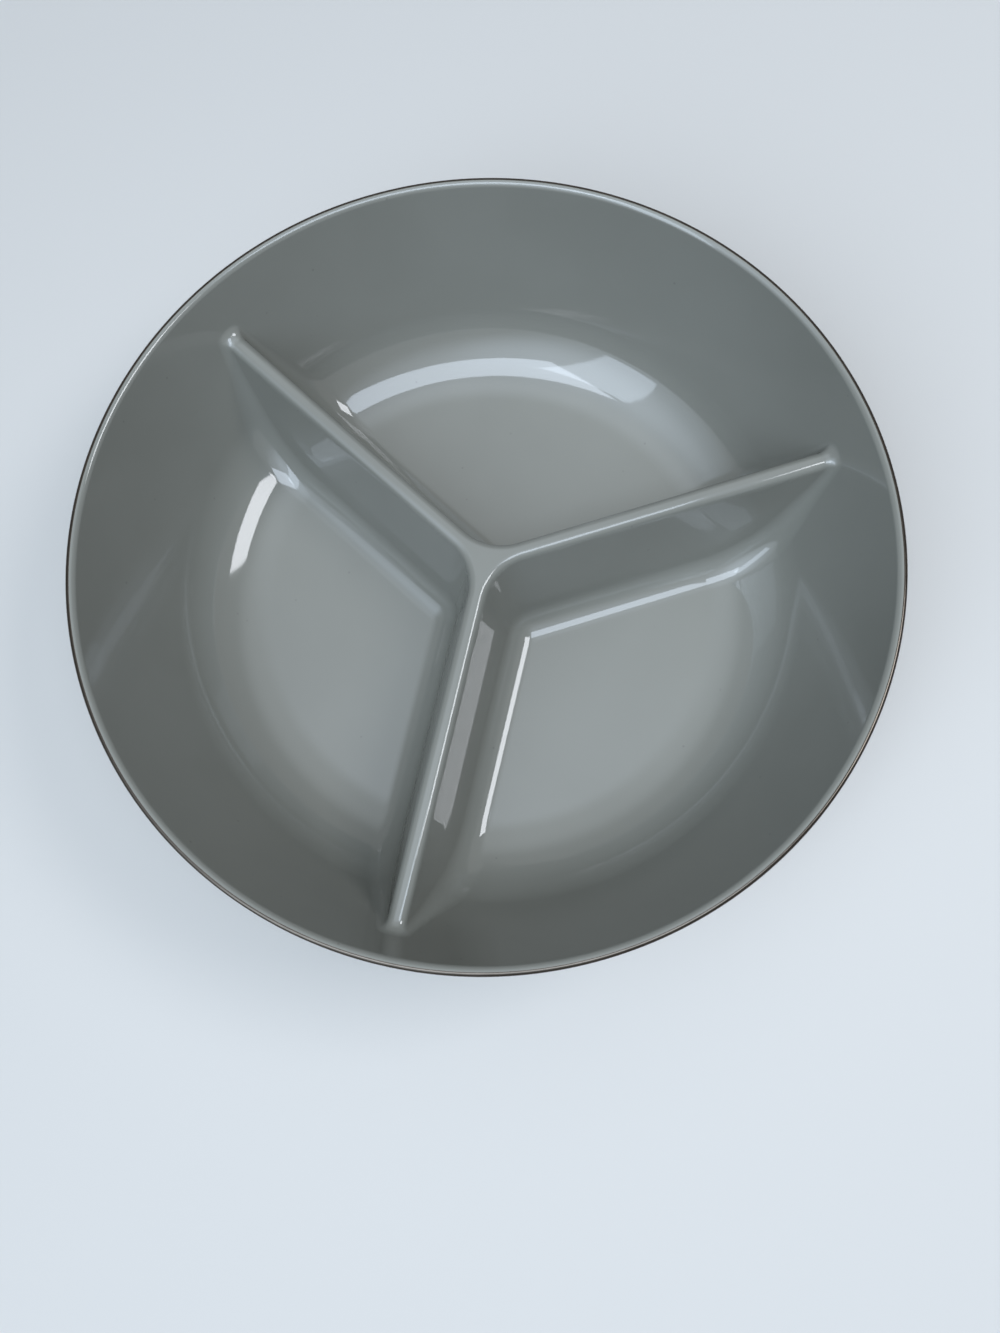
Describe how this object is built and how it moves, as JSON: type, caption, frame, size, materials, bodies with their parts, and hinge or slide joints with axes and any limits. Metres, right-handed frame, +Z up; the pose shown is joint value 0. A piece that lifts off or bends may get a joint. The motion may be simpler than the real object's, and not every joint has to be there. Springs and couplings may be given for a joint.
{
  "type": "divided serving bowl",
  "caption": "Round glazed porcelain serving bowl with flat-floored compartments set off by low ridged dividers in a Y, a fine metal rim line and a foot ring.",
  "frame": {"origin": "centre of the plane that the foot ring stands on", "axes": "+Z up, out of the bowl; -Y along the front divider, so the other two run at 30 and 150 degrees from +X"},
  "size_m": [0.25, 0.25, 0.072],
  "materials": {
    "glaze": "glossy warm grey glaze",
    "bare_porcelain": "ground unglazed foot face under a glazed ring",
    "metal_line": "fired dark metal line with bright glints"
  },
  "bodies": {
    "root": {"bowl_shell": "glaze", "divider_front": "glaze", "divider_left": "glaze", "divider_right": "glaze", "foot_ring": "bare_porcelain", "rim_band": "metal_line"}
  },
  "joints": []
}
